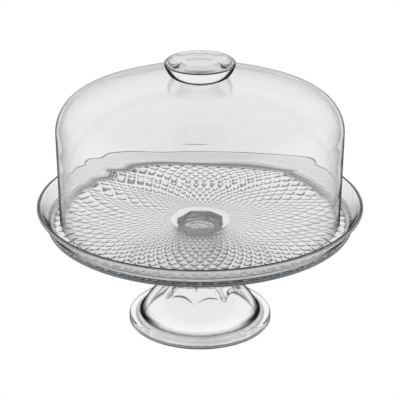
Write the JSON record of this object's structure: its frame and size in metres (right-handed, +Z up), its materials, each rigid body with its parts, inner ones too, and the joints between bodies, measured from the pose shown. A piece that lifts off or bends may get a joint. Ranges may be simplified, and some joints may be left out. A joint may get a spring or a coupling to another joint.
{
  "type": "cake stand with dome",
  "caption": "Footed glass cake plate with a raised rim and a latticed underside, and a lift-off glass dome with a flat round knob.",
  "frame": {"origin": "centre of the foot's resting ring, on the surface that the stand stands on", "axes": "+Z up, along the axis that the plate, the foot, the dome and the knob share; +X to the right and -Y to the front"},
  "size_m": [0.3, 0.3, 0.2566],
  "materials": {
    "plate_glass": "pressed clear glass, lattice pressed into the underside",
    "foot_glass": "pressed clear glass, fire polished",
    "dome_glass": "blown clear glass, fire polished",
    "knob_glass": "solid clear glass, fire polished"
  },
  "bodies": {
    "stand": {"plate": "plate_glass", "foot": "foot_glass"},
    "dome": {"dome_shell": "dome_glass", "knob": "knob_glass"}
  },
  "joints": [
    {"name": "dome_lift", "type": "slide", "parent": "stand", "child": "dome", "axis": [0, 0, 1], "range_m": [0, 0.18]}
  ]
}
